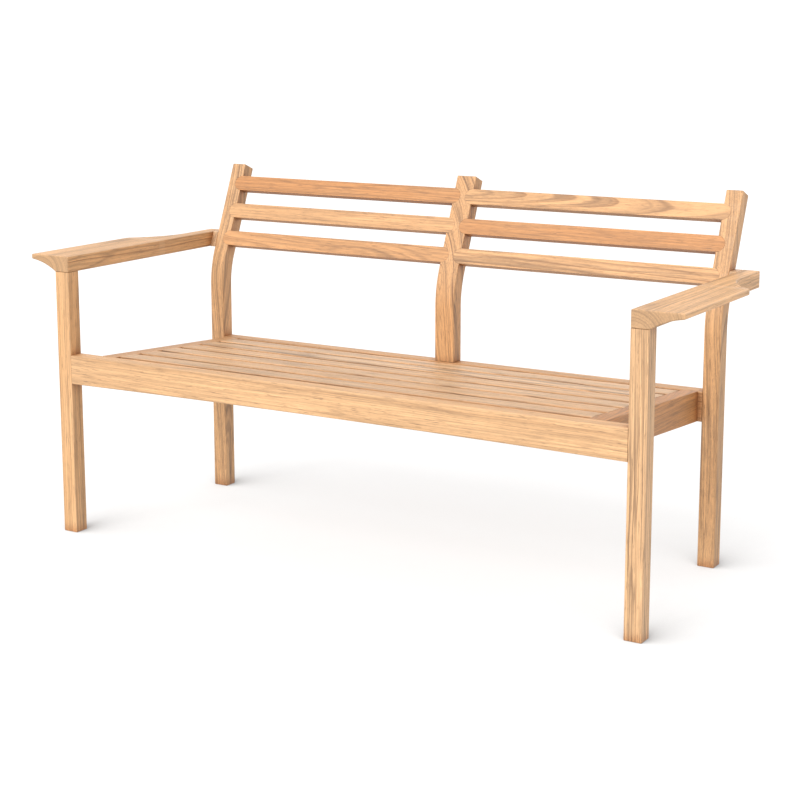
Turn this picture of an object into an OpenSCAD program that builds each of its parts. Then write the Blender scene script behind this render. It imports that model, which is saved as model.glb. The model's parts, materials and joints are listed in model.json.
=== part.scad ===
// Slatted teak garden bench with two armrests and a back that leans from a bend in its posts.
// Millimetres, +Z up. X runs along the bench, the front faces -Y.
// The origin is on the floor, under the middle of the bench.

/* [Overall] */
// Length over the tips of the two armrests
bench_length = 1670; // [1400:10:2200]
// Height of the top front edge of the back posts
bench_height = 852; // [760:1:960]
// Depth from the front face of the front legs to the rear face of the rear legs
frame_depth = 574; // [480:1:700]

/* [Legs and posts] */
// Width of a leg along the bench
leg_w = 40; // [36:1:60]
// Depth of a leg from front to back
leg_d = 38; // [36:1:60]
// Width of the middle back post along the bench
middle_post_w = 52; // [46:1:90]
// Height at which the back posts begin to bend
bend_z = 540; // [470:1:560]
// Lean of the back posts above the bend, in degrees
back_lean = 22.5; // [10:0.5:26]
// Radius of the bend at the front face of the posts
bend_r = 245; // [120:5:250]

/* [Seat] */
// Height of the seat at the front rail
seat_front_z = 440; // [380:1:480]
// Height of the seat at the rear rail
seat_rear_z = 407; // [360:1:460]
// Height of the front, rear and side rails
rail_h = 70; // [62:1:90]
// Rise of the hollow under the front rail at its middle
rail_arch = 5; // [0:0.5:10]
// Width of a side rail along the bench
side_rail_w = 38; // [30:1:60]
// Distance from the inner face of a front leg to the outer face of a side rail
side_rail_inset = 66; // [60:1:120]
// Width of a seat slat
seat_slat_w = 60; // [40:1:64]
// Thickness of a seat slat
seat_slat_t = 20; // [18:1:24]
// Chamfer along the long edges of legs, seat slats and bearers
edge_ease = 1.5; // [0.5:0.5:3]

/* [Cross bearers] */
// Distance from the middle of the bench to each bearer
bearer_x = 206; // [80:1:400]
// Width of a bearer along the bench
bearer_w = 32; // [24:1:60]
// Height of a bearer
bearer_h = 40; // [34:1:44]

/* [Armrests] */
// Height of the top of the armrests
arm_top_z = 678; // [660:1:720]
// Thickness of an armrest over the leg
arm_t = 38; // [32:1:50]
// Thickness of the outer edge of an armrest
arm_tip_t = 12; // [8:1:24]
// Reach of an armrest beyond the outer face of the leg
arm_overhang = 73; // [30:1:110]
// Length of an armrest from the front face of the leg
arm_len = 616; // [480:1:760]
// Distance from the front face to where the armrest has narrowed to leg width
arm_notch_y = 502; // [430:1:560]
// Radius of the hollow that narrows the armrest
arm_notch_r = 180; // [120:1:260]
// Radius of the hollow under the overhang
arm_hollow_r = 160; // [80:1:300]
// Thickness of the spacer between armrest and rear leg
spacer_t = 16; // [8:1:30]

/* [Back slats] */
// Height of a back slat
back_slat_h = 38; // [24:1:50]
// Thickness of a back slat
back_slat_t = 24; // [18:1:25]
// Distance from one back slat to the next, centre to centre
back_slat_pitch = 75; // [56:1:80]
// Distance from the top of the posts to the top slat
back_slat_drop = 33; // [20:1:50]

/* [Joinery] */
// Thickness of the tenons
tenon_t = 12; // [8:1:14]
// Height of the rail tenons
tenon_h = 44; // [30:1:50]
// Length of the tenons on the rails and bearers
tenon_len = 24; // [12:1:28]
// Height of the tenons on the bearers
bearer_tenon_h = 24; // [16:1:30]
// Length of the stub tenons on the seat slats
slat_tenon_len = 14; // [8:1:20]
// Thickness of the stub tenons on the seat slats
slat_tenon_t = 10; // [6:1:12]
// Length of the tenons on top of the front legs and under the middle post
post_tenon_len = 24; // [12:1:28]
// Gap around every tenon, slat end, dowel and screw
fit_gap = 0.2; // [0.1:0.05:0.4]
// Diameter of the armrest dowels
dowel_d = 8; // [6:1:10]
// Depth of a dowel in the armrest
dowel_grip = 22; // [14:1:28]
// Distance between the two dowels of an armrest
dowel_pitch = 18; // [16:1:20]
// Shank diameter of the screws
screw_d = 4.5; // [3.5:0.5:6]
// Head diameter of the screws
screw_head_d = 9; // [8:0.5:10]
// Head height of the screws
screw_head_h = 3; // [2:0.5:3.5]
// Reach of a screw into a slat
screw_grip = 14; // [10:1:15]
// Diameter of the wooden plugs and of the recesses for the screw heads
plug_d = 11; // [10.5:0.5:12]
// Depth of the plug recesses in the back posts
plug_depth = 8; // [6:0.5:9]
// Depth of the screw recesses in the bearers
bearer_recess = 14; // [8:1:20]

/* [Hidden] */
$fn = 96;

left = -1;
right = 1;
seat_slats = 6;
back_slats = 3;
arch_steps = 24;
cut_over = 1;
// Angle by which the bend runs into the straight part above it, so that the two are one piece
bend_seam = 0.02;
// Width that every tenon leaves on each side of its piece
shoulder = 8;
// Wood left between a dowel and the end of a back slat
dowel_wall = 4;

teak = [0.87, 0.69, 0.48];
teak_light = [0.93, 0.76, 0.55];
teak_brown = [0.74, 0.54, 0.35];
steel = [0.72, 0.73, 0.75];

// Places along the bench, measured from its middle
arm_out_x = bench_length / 2;
leg_out_x = arm_out_x - arm_overhang;
leg_in_x = leg_out_x - leg_w;
post_out_x = leg_in_x - spacer_t;
post_in_x = post_out_x - leg_w;
side_rail_out_x = leg_in_x - side_rail_inset;
side_rail_in_x = side_rail_out_x - side_rail_w;
middle_half_w = middle_post_w / 2;

// Heights and depths, measured from the floor and from the front face of the front legs
post_y = frame_depth - leg_d;
arm_bottom_z = arm_top_z - arm_t;
bend_y = post_y + bend_r;
lean_len = (bench_height - bend_z - bend_r * sin(back_lean)) / cos(back_lean);
top_y = bend_y - bend_r * cos(back_lean) + lean_len * sin(back_lean);
bench_depth = top_y + leg_d * cos(back_lean);

// The seat slopes from the inner edge of the front rail to the inner edge of the rear rail
seat_span = frame_depth - 2 * leg_d;
seat_drop = seat_front_z - seat_rear_z;
seat_tilt = atan(seat_drop / seat_span);
seat_slope_len = sqrt(seat_span * seat_span + seat_drop * seat_drop);
seat_gap = (seat_slope_len - seat_slats * seat_slat_w) / (seat_slats + 1);
seat_pitch = seat_slat_w + seat_gap;
seat_slat_len = 2 * side_rail_in_x;
bearer_top_drop = seat_slat_t / cos(seat_tilt);

// The rounded end of a back slat is a half circle centred on the edge of its post
back_slat_r = back_slat_h / 2;
back_screw_x = back_slat_r / 2;
dowel_z = -(bench_height - arm_top_z + arm_t / 2) / cos(back_lean);
dowel_leg_grip = leg_w - back_slat_r - dowel_wall;

function seat_slat_y(index) = seat_gap + index * seat_pitch;
function back_slat_z(index) = -back_slat_drop - back_slat_r - index * back_slat_pitch;
function arch_z(x, half) = rail_arch * (1 - (x / half) * (x / half));
function eased(w, h, c) = [[c, 0], [w - c, 0], [w, c], [w, h - c], [w - c, h], [c, h], [0, h - c], [0, c]];

// Moves a piece from the front face of the legs to the middle of the bench
module placed() {
    translate([0, -bench_depth / 2, 0]) children();
}

// Draws the right-hand piece, or its mirror image on the left
module on_side(side) {
    if (side == left) mirror([1, 0, 0]) children();
    else children();
}

// A profile in Y and Z, drawn out along X from x
module along_x(x, len) {
    translate([x, 0, 0]) rotate([90, 0, 90]) linear_extrude(len) children();
}

// Frame of the seat: Y runs down the slope and Z is square to it
module seat_frame() {
    translate([0, leg_d, seat_front_z]) rotate([-seat_tilt, 0, 0]) children();
}

// Frame of the back: Z runs up the lean, Y goes into the posts and 0 is the top front edge
module back_frame() {
    translate([0, top_y, bench_height]) rotate([-back_lean, 0, 0]) children();
}

// Side view of a back post from the height foot_z to its top
module post_profile(foot_z) {
    end_angle = back_lean + bend_seam;
    translate([post_y, foot_z]) square([leg_d, bend_z - foot_z]);
    translate([bend_y, bend_z]) intersection() {
        difference() {
            circle(bend_r);
            circle(bend_r - leg_d);
        }
        polygon([[0, 0], [-2 * bend_r, 0], [-2 * bend_r * cos(end_angle), 2 * bend_r * sin(end_angle)]]);
    }
    translate([top_y, bench_height]) rotate(-back_lean) translate([0, -lean_len]) square([leg_d, lean_len]);
}

// A box with its middle at x and y, from z upwards
module peg_box(x, y, z, size) {
    translate([x - size[0] / 2, y - size[1] / 2, z]) cube(size);
}

// Tenon of a long rail, which enters a leg or post at x; gap widens it into its mortise
module rail_tenon(x, y, rail_bottom_z, gap) {
    z = rail_bottom_z + (rail_h - tenon_h) / 2 - gap;
    translate([x - gap, y + (leg_d - tenon_t) / 2 - gap, z])
        cube([tenon_len + 2 * gap, tenon_t + 2 * gap, tenon_h + 2 * gap]);
}

// Tenons at both ends of a piece that runs from the front rail to the rear rail
module cross_tenons(x, top_drop, height, size, gap) {
    for (end = [[leg_d - tenon_len, seat_front_z], [frame_depth - leg_d, seat_rear_z]]) {
        z = end[1] - top_drop - (height + size) / 2;
        translate([x - tenon_t / 2 - gap, end[0] - gap, z - gap])
            cube([tenon_t + 2 * gap, tenon_len + 2 * gap, size + 2 * gap]);
    }
}

// Every mortise that the front and rear rails have for the pieces between them
module cross_mortises() {
    for (side = [left, right]) {
        cross_tenons(side * (side_rail_in_x + side_rail_w / 2), 0, rail_h, tenon_h, fit_gap);
        cross_tenons(side * bearer_x, bearer_top_drop, bearer_h, bearer_tenon_h, fit_gap);
    }
}

// Tenon on top of a front leg
module leg_top_tenon(gap) {
    size = [leg_w - 2 * shoulder + 2 * gap, leg_d - 2 * shoulder + 2 * gap, post_tenon_len + gap];
    peg_box((leg_in_x + leg_out_x) / 2, leg_d / 2, arm_bottom_z, size);
}

// Tenon under the middle post
module middle_post_tenon(gap) {
    size = [middle_post_w - 2 * shoulder + 2 * gap, tenon_t + 2 * gap, post_tenon_len + gap];
    peg_box(0, post_y + leg_d / 2, seat_rear_z - post_tenon_len - gap, size);
}

// One back slat between two posts, in the frame of the back
module back_slat_shape(index, x0, x1, gap) {
    depth = back_slat_t + gap;
    radius = back_slat_r + gap;
    translate([x0, 0, back_slat_z(index) - radius]) cube([x1 - x0, depth, 2 * radius]);
    for (x = [x0, x1])
        translate([x, depth, back_slat_z(index)]) rotate([90, 0, 0]) cylinder(h = depth, r = radius);
}

// The housings that the back slats need in the posts
module back_slat_housings() {
    for (index = [0:back_slats - 1], side = [left, right])
        on_side(side) back_slat_shape(index, middle_half_w, post_in_x, fit_gap);
}

// Places one child behind every end of every back slat, with Z pointing forwards
module at_back_screws(xs) {
    for (index = [0:back_slats - 1], x = xs)
        translate([x, leg_d, back_slat_z(index)]) rotate([90, 0, 0]) children();
}

function side_screw_xs(side) = [side * (post_in_x + back_screw_x)];
function middle_screw_xs() = [-(middle_half_w - back_screw_x), middle_half_w - back_screw_x];

// A screw whose head starts at z = 0 and whose shank runs to the end of its grip
module screw(shank_len, gap) {
    cylinder(h = screw_head_h, d = screw_head_d + 2 * gap);
    cylinder(h = screw_head_h + shank_len + gap, d = screw_d + 2 * gap);
}

// Screw and plug recess of a back post
module back_screw_hole() {
    translate([0, 0, -cut_over]) cylinder(h = plug_depth + cut_over, d = plug_d + 2 * fit_gap);
    back_screw(fit_gap);
}

module back_screw(gap) {
    translate([0, 0, plug_depth - screw_head_h])
        screw(leg_d - plug_depth - back_slat_t + screw_grip, gap);
}

// Places one child under each seat slat at each bearer, with Z pointing up into the slat
module at_seat_screws(xs) {
    for (index = [0:seat_slats - 1], x = xs)
        translate([x, seat_slat_y(index) + seat_slat_w / 2, -seat_slat_t - bearer_h]) children();
}

module seat_screw(gap) {
    translate([0, 0, bearer_recess - screw_head_h]) screw(bearer_h - bearer_recess + screw_grip, gap);
}

// Dowels of one armrest, which cross its spacer
module arm_dowel_pair(gap) {
    len = dowel_leg_grip + spacer_t + dowel_grip + 2 * gap;
    for (z = [dowel_z - dowel_pitch / 2, dowel_z + dowel_pitch / 2])
        translate([post_out_x - dowel_leg_grip - gap, leg_d / 2, z])
            rotate([0, 90, 0]) cylinder(h = len, d = dowel_d + 2 * gap);
}

module front_leg(side) {
    color(teak_light) placed() on_side(side) difference() {
        union() {
            translate([leg_in_x, 0, 0]) linear_extrude(arm_bottom_z) polygon(eased(leg_w, leg_d, edge_ease));
            leg_top_tenon(0);
        }
        rail_tenon(leg_in_x, 0, seat_front_z - rail_h, fit_gap);
    }
}

module rear_leg(side) {
    color(teak) placed() on_side(side) difference() {
        along_x(post_in_x, leg_w) post_profile(0);
        rail_tenon(post_in_x, post_y, seat_rear_z - rail_h, fit_gap);
        back_frame() {
            back_slat_housings();
            at_back_screws(side_screw_xs(right)) back_screw_hole();
            arm_dowel_pair(fit_gap);
        }
    }
}

module middle_post() {
    color(teak) placed() {
        difference() {
            along_x(-middle_half_w, middle_post_w) post_profile(seat_rear_z);
            back_frame() {
                back_slat_housings();
                at_back_screws(middle_screw_xs()) back_screw_hole();
            }
        }
        middle_post_tenon(0);
    }
}

// The underside of the front rail rises in a shallow arch between the legs
module front_rail() {
    bottom_z = seat_front_z - rail_h;
    arch = [for (i = [0:arch_steps]) let (x = leg_in_x * (2 * i / arch_steps - 1))
        [x, bottom_z + arch_z(x, leg_in_x)]];
    color(teak_light) placed() difference() {
        union() {
            translate([0, leg_d, 0]) rotate([90, 0, 0]) linear_extrude(leg_d)
                polygon(concat(arch, [[leg_in_x, seat_front_z], [-leg_in_x, seat_front_z]]));
            for (side = [left, right]) on_side(side) rail_tenon(leg_in_x, 0, bottom_z, 0);
        }
        cross_mortises();
    }
}

module rear_rail() {
    bottom_z = seat_rear_z - rail_h;
    color(teak) placed() difference() {
        union() {
            translate([-post_in_x, post_y, bottom_z]) cube([2 * post_in_x, leg_d, rail_h]);
            for (side = [left, right]) on_side(side) rail_tenon(post_in_x, post_y, bottom_z, 0);
        }
        cross_mortises();
        middle_post_tenon(fit_gap);
    }
}

// Side view of a piece that follows the seat, top_drop below its surface
module sloping_profile(top_drop, height) {
    front_top = seat_front_z - top_drop;
    rear_top = seat_rear_z - top_drop;
    polygon([[leg_d, front_top - height], [post_y, rear_top - height], [post_y, rear_top], [leg_d, front_top]]);
}

module side_rail(side) {
    color(teak_brown) placed() on_side(side) difference() {
        union() {
            along_x(side_rail_in_x, side_rail_w) sloping_profile(0, rail_h);
            cross_tenons(side_rail_in_x + side_rail_w / 2, 0, rail_h, tenon_h, 0);
        }
        seat_frame() for (index = [0:seat_slats - 1]) seat_slat_tenon(index, fit_gap);
    }
}

module cross_bearer(side) {
    color(teak_brown) placed() difference() {
        union() {
            along_x(side * bearer_x - bearer_w / 2, bearer_w) sloping_profile(bearer_top_drop, bearer_h);
            cross_tenons(side * bearer_x, bearer_top_drop, bearer_h, bearer_tenon_h, 0);
        }
        seat_frame() at_seat_screws([side * bearer_x]) {
            seat_screw(fit_gap);
            translate([0, 0, -cut_over - bearer_h])
                cylinder(h = bearer_h + bearer_recess + cut_over, d = plug_d);
        }
    }
}

// Stub tenon on the right-hand end of a seat slat
module seat_slat_tenon(index, gap) {
    y = seat_slat_y(index) + shoulder - gap;
    translate([side_rail_in_x - gap, y, -(seat_slat_t + slat_tenon_t) / 2 - gap])
        cube([slat_tenon_len + 2 * gap, seat_slat_w - 2 * shoulder + 2 * gap, slat_tenon_t + 2 * gap]);
}

module seat_slat(number) {
    index = number - 1;
    color(teak_light) placed() seat_frame() difference() {
        union() {
            translate([0, seat_slat_y(index), -seat_slat_t]) along_x(-side_rail_in_x, seat_slat_len)
                polygon(eased(seat_slat_w, seat_slat_t, edge_ease));
            for (side = [left, right]) on_side(side) seat_slat_tenon(index, 0);
        }
        at_seat_screws([-bearer_x, bearer_x]) seat_screw(fit_gap);
    }
}

module back_slat(side, index) {
    color(teak) placed() back_frame() difference() {
        on_side(side) back_slat_shape(index, middle_half_w, post_in_x, 0);
        at_back_screws(concat(side_screw_xs(side), middle_screw_xs())) back_screw(fit_gap);
    }
}

// Plan of an armrest: a leg-wide bar with a wing that a round hollow ends before the rear leg
module armrest_plan() {
    translate([leg_in_x, 0]) square([leg_w, arm_len]);
    translate([leg_out_x, 0]) difference() {
        square([arm_overhang, arm_notch_y]);
        translate([arm_notch_r, arm_notch_y]) circle(arm_notch_r);
    }
}

// Round hollow that thins the wing from the leg to its outer edge
module wing_hollow() {
    rise = arm_t - arm_tip_t;
    half_chord = sqrt(arm_overhang * arm_overhang + rise * rise) / 2;
    reach = sqrt(arm_hollow_r * arm_hollow_r - half_chord * half_chord);
    slope = atan(rise / arm_overhang);
    centre_x = leg_out_x + arm_overhang / 2 + reach * sin(slope);
    centre_z = arm_bottom_z + rise / 2 - reach * cos(slope);
    translate([centre_x, -cut_over, centre_z]) rotate([-90, 0, 0])
        cylinder(h = arm_len + 2 * cut_over, r = arm_hollow_r, $fn = 240);
}

module armrest(side) {
    color(teak_light) placed() on_side(side) difference() {
        translate([0, 0, arm_bottom_z]) linear_extrude(arm_t) armrest_plan();
        wing_hollow();
        leg_top_tenon(fit_gap);
        back_frame() arm_dowel_pair(fit_gap);
    }
}

// Spacer between armrest and rear leg, with the lean of the post at its front and rear
module arm_spacer(side) {
    color(teak_light) placed() on_side(side) difference() {
        along_x(post_out_x, spacer_t) intersection() {
            post_profile(0);
            translate([0, arm_bottom_z]) square([bench_depth, arm_t]);
        }
        back_frame() arm_dowel_pair(fit_gap);
    }
}

module arm_dowels() {
    color(teak_brown) placed() for (side = [left, right]) on_side(side) back_frame() arm_dowel_pair(0);
}

module seat_screws() {
    color(steel) placed() seat_frame() at_seat_screws([-bearer_x, bearer_x]) seat_screw(0);
}

module back_screws() {
    color(steel) placed() back_frame()
        at_back_screws(concat(side_screw_xs(left), middle_screw_xs(), side_screw_xs(right))) back_screw(0);
}

module screw_plugs() {
    color(teak_brown) placed() back_frame()
        at_back_screws(concat(side_screw_xs(left), middle_screw_xs(), side_screw_xs(right)))
            cylinder(h = plug_depth - screw_head_h, d = plug_d);
}

front_leg(left);  // front_leg_left
front_leg(right);  // front_leg_right
rear_leg(left);  // rear_leg_left
rear_leg(right);  // rear_leg_right
middle_post();
front_rail();
rear_rail();
side_rail(left);  // side_rail_left
side_rail(right);  // side_rail_right
cross_bearer(left);  // cross_bearer_left
cross_bearer(right);  // cross_bearer_right
seat_slat(1);  // seat_slat_1
seat_slat(2);  // seat_slat_2
seat_slat(3);  // seat_slat_3
seat_slat(4);  // seat_slat_4
seat_slat(5);  // seat_slat_5
seat_slat(6);  // seat_slat_6
back_slat(left, 0);  // back_slat_left_top
back_slat(left, 1);  // back_slat_left_middle
back_slat(left, 2);  // back_slat_left_bottom
back_slat(right, 0);  // back_slat_right_top
back_slat(right, 1);  // back_slat_right_middle
back_slat(right, 2);  // back_slat_right_bottom
armrest(left);  // armrest_left
armrest(right);  // armrest_right
arm_spacer(left);  // arm_spacer_left
arm_spacer(right);  // arm_spacer_right
arm_dowels();
seat_screws();
back_screws();
screw_plugs();
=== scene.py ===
import json
import math

import bmesh
import bpy
import numpy as np
from mathutils import Matrix, Vector


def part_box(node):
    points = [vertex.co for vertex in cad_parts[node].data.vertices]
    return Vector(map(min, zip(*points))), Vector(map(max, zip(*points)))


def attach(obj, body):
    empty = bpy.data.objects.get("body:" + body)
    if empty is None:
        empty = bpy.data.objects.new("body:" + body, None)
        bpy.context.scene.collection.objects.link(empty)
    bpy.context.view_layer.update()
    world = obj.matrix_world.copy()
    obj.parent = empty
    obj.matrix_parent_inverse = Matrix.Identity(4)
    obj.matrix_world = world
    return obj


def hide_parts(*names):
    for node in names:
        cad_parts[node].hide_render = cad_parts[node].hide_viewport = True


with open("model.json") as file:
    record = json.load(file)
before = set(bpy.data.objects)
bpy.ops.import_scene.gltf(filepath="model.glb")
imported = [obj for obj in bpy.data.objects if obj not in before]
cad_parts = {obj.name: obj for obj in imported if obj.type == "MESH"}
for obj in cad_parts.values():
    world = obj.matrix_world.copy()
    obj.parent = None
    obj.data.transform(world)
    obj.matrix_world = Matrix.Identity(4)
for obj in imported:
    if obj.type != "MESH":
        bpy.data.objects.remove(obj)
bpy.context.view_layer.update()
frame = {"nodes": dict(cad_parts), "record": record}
mounts = {m["name"]: m for m in frame["record"]["mounts"]}

# ---------------------------------------------------------------- front legs
# The two front legs are straight square posts of solid teak, planed and sanded, with
# eased edges and a slightly rounded foot. A tenon on top holds the armrest.

LEG_EASE = 0.0022


def add(tree, kind, inputs=(), **settings):
    """A node with its settings and inputs; an input is a value or another node's socket."""
    made = tree.nodes.new(kind)
    for name, value in settings.items():
        setattr(made, name, value)
    for key, value in dict(inputs).items():
        if isinstance(value, bpy.types.NodeSocket):
            tree.links.new(value, made.inputs[key])
        else:
            made.inputs[key].default_value = value
    return made


def sum_of(tree, operation, first, second=0.0):
    """One or two values worked out in the tree: their sum, product, sine and so on."""
    return add(tree, "ShaderNodeMath", {0: first, 1: second}, operation=operation).outputs[0]


def point_of(tree, x=0.0, y=0.0, z=0.0):
    """Three values as a point, a step or a grey colour."""
    return add(tree, "ShaderNodeCombineXYZ", {0: x, 1: y, 2: z}).outputs[0]


def teak(name, pale, honey, brown, streak):
    """Solid teak: growth rings round the heart of the tree, fibres, pores and dark mineral streaks.

    The board's own grain attribute runs along the fibres in x and away from the heart in y and z."""
    material = bpy.data.materials.new(name)
    material.use_nodes = True
    t = material.node_tree
    t.nodes.clear()

    def stored(name, output="Fac"):
        return add(t, "ShaderNodeAttribute", attribute_name=name).outputs[output]

    def vector(operation, first, second=(0, 0, 0), output=0):
        return add(t, "ShaderNodeVectorMath", {0: first, 1: second}, operation=operation).outputs[output]

    def stretched(along, across):
        return vector("MULTIPLY", grain, (along, across, across))

    def noise(at, detail=2.0, rough=0.5):
        inputs = {"Vector": at, "Scale": 1.0, "Detail": detail, "Roughness": rough}
        return add(t, "ShaderNodeTexNoise", inputs)

    def between(value, low, high, to_low=0.0, to_high=1.0):
        made = add(t, "ShaderNodeMapRange", {0: value, 1: low, 2: high, 3: to_low, 4: to_high},
                   interpolation_type="SMOOTHSTEP")
        return made.outputs[0]

    def mixed(factor, first, second, blend="MIX"):
        made = add(t, "ShaderNodeMix", data_type="RGBA", blend_type=blend)
        for key, value in ((0, factor), (6, first), (7, second)):
            if isinstance(value, bpy.types.NodeSocket):
                t.links.new(value, made.inputs[key])
            else:
                made.inputs[key].default_value = value
        return made.outputs[2]

    def times(first, second):
        return sum_of(t, "MULTIPLY", first, second)

    def plus(first, second):
        return sum_of(t, "ADD", first, second)

    def minus(first, second):
        return sum_of(t, "SUBTRACT", first, second)

    grain = stored("grain", "Vector")
    look = add(t, "ShaderNodeSeparateXYZ", {0: stored("board", "Vector")}).outputs
    tone, streaky, ringy = look[0], look[1], look[2]
    # The tree grew a little crooked, so the rings wander
    wander = vector("SUBTRACT", noise(stretched(1.3, 9), 2).outputs["Color"], (0.5, 0.5, 0.5))
    crooked = vector("ADD", grain, vector("MULTIPLY", wander, (0, 0.026, 0.026)))
    lengthwise = add(t, "ShaderNodeSeparateXYZ", {0: crooked}).outputs[0]
    radius = vector("LENGTH", vector("MULTIPLY", crooked, (0, 1, 1)), output="Value")
    uneven = add(t, "ShaderNodeTexNoise", {"W": times(radius, 70.0), "Scale": 1.0, "Detail": 1.0},
                 noise_dimensions="1D").outputs[0]
    rings = plus(times(radius, 160.0), times(uneven, 1.8))
    phase = sum_of(t, "FRACT", rings)
    late = times(between(phase, 0.62, 0.94), between(phase, 0.94, 1.0, 1.0, 0.0))
    ring_power = add(t, "ShaderNodeTexWhiteNoise", {"W": sum_of(t, "FLOOR", rings)},
                     noise_dimensions="1D").outputs["Value"]
    late = times(times(late, between(ring_power, 0.0, 1.0, 0.15, 1.0)), ringy)

    # Streaks and bands that follow the rings along the board
    def ring_noise(along, out, shift, detail, rough):
        at = point_of(t, times(lengthwise, along), times(radius, out), shift)
        return noise(at, detail, rough).outputs["Fac"]

    def thin_line(value, width):
        """A line wherever a noise passes its middle value."""
        return between(sum_of(t, "ABSOLUTE", minus(value, 0.5)), 0.0, width, 1.0, 0.0)

    band = ring_noise(1.1, 110.0, 0.0, 3, 0.6)
    dark_line = times(between(ring_noise(2.0, 230.0, 4.7, 2, 0.55), 0.57, 0.66), streaky)
    vein = times(thin_line(ring_noise(2.2, 105.0, 9.1, 1, 0.5), 0.045), plus(times(streaky, 0.6), 0.25))
    fibre = noise(stretched(5, 430), 4, 0.62).outputs["Fac"]
    hair = noise(stretched(30, 900), 2, 0.6).outputs["Fac"]
    pores = between(noise(stretched(55, 1500), 1).outputs["Fac"], 0.62, 0.70)
    flecks = between(noise(stretched(24, 400), 2, 0.6).outputs["Fac"], 0.62, 0.68)
    patch = noise(stretched(3.2, 20), 2, 0.5).outputs["Fac"]
    mottle = noise(stretched(38, 85), 2, 0.55).outputs["Fac"]
    # On end grain the fibres are cut across: darker, duller, and the rings show as arcs
    end = stored("end")

    colour = mixed(between(tone, 0.0, 1.0), pale, honey)
    colour = mixed(times(between(patch, 0.40, 0.66), 0.35), colour, mixed(0.5, honey, pale))
    colour = mixed(times(late, plus(times(end, 0.08), 0.92)), colour, brown)
    shade = plus(plus(times(fibre, 1.15), times(band, 1.05)), plus(times(hair, 0.50), times(mottle, 0.18)))
    shade = sum_of(t, "MINIMUM", minus(shade, 0.38), 1.30)
    shade = times(shade, minus(1.0, times(end, 0.30)))
    colour = mixed(1.0, colour, point_of(t, shade, shade, shade), "MULTIPLY")
    colour = mixed(times(vein, 0.60), colour, streak)
    colour = mixed(times(dark_line, 0.68), colour, streak)
    colour = mixed(times(flecks, 0.46), colour, streak)
    colour = mixed(times(pores, 0.30), colour, streak)
    # Painted shade: an occlusion test darkens and warms the wood in the gaps, corners and joints, where
    # shade falls
    corner = add(t, "ShaderNodeAmbientOcclusion", {"Distance": 0.035}, samples=6).outputs["AO"]
    corner = between(corner, 0.48, 0.92, 1.0, 0.0)
    colour = mixed(corner, colour, mixed(1.0, colour, (0.64, 0.46, 0.30, 1), "MULTIPLY"))
    # Sanding has worn the eased edges a little paler and smoother
    edge = stored("edge")
    colour = mixed(times(edge, 0.22), colour, pale)

    rough = minus(plus(plus(times(fibre, 0.22), 0.42), times(end, 0.18)), times(edge, 0.08))
    height = plus(times(fibre, 0.55), times(hair, 0.35))
    height = minus(height, plus(times(pores, 0.7), times(late, 0.35)))
    bump = add(t, "ShaderNodeBump", {"Height": height, "Strength": 0.45, "Distance": 0.0004}).outputs[0]
    surface = add(t, "ShaderNodeBsdfPrincipled", {"Base Color": colour, "Roughness": rough, "Normal": bump,
                                                  "IOR": 1.5, "Specular IOR Level": 0.60})
    add(t, "ShaderNodeOutputMaterial", {"Surface": surface.outputs[0]})
    return material


teak_pale = teak("teak_pale", pale=(0.600, 0.384, 0.216, 1), honey=(0.612, 0.340, 0.150, 1),
                 brown=(0.290, 0.138, 0.054, 1), streak=(0.110, 0.056, 0.028, 1))
# An eased edge shows as faces no wider than this
NARROW = 0.0016


def lay_grain(piece, boards, along=(1, 0, 0), side=(0, 1, 0)):
    """Stores the grain, board and edge attributes of a piece made of one or more boards.

    Each board has the distance and direction of the heart of its tree from its middle, how far the
    heart drifts along it, and its tone, streaks and rings. A slat attribute says whose a vertex is.
    Faces cut across the fibres are marked as end grain."""
    mesh = piece.data
    count = len(mesh.vertices)
    at = np.empty(count * 3)
    mesh.vertices.foreach_get("co", at)
    at = at.reshape(-1, 3)
    number = np.zeros(count, int)
    if "slat" in mesh.attributes:
        read = np.empty(count, np.float32)
        mesh.attributes["slat"].data.foreach_get("value", read)
        number = np.rint(read).astype(int)
    x = Vector(along).normalized()
    z = x.cross(Vector(side)).normalized()
    axes = np.array([x, z.cross(x), z])
    grain = np.zeros((count, 3), np.float32)
    look = np.zeros((count, 3), np.float32)
    for index in range(number.max() + 1):
        board = boards[index % len(boards)]
        mine = number == index
        points = at[mine]
        local = (points - (points.min(0) + points.max(0)) / 2) @ axes.T
        local[:, 1] += board["heart"][0] + board["drift"][0] * local[:, 0]
        local[:, 2] += board["heart"][1] + board["drift"][1] * local[:, 0]
        local[:, 0] += board["place"]
        grain[mine] = local
        look[mine] = (board["tone"], board["streaks"], board["rings"])
    mesh.attributes.new("grain", "FLOAT_VECTOR", "POINT").data.foreach_set("vector", grain.ravel())
    mesh.attributes.new("board", "FLOAT_VECTOR", "POINT").data.foreach_set("vector", look.ravel())
    facing = np.array([face.normal for face in mesh.polygons]) @ np.array(x)
    cut_across = np.clip((np.abs(facing) - 0.55) / 0.3, 0, 1).astype(np.float32)
    mesh.attributes.new("end", "FLOAT", "FACE").data.foreach_set("value", cut_across)
    # A vertex is on an eased edge if only narrow faces meet at it
    widest = np.zeros(count)
    for face in mesh.polygons:
        width = min((mesh.vertices[a].co - mesh.vertices[b].co).length for a, b in face.edge_keys)
        for v in face.vertices:
            widest[v] = max(widest[v], width)
    eased = (widest < NARROW).astype(np.float32)
    mesh.attributes.new("edge", "FLOAT", "POINT").data.foreach_set("value", eased)


def board(heart, drift, place, tone, streaks, rings):
    """What one board is cut from and how it looks."""
    return {"heart": heart, "drift": drift, "place": place, "tone": tone, "streaks": streaks, "rings": rings}


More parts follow.
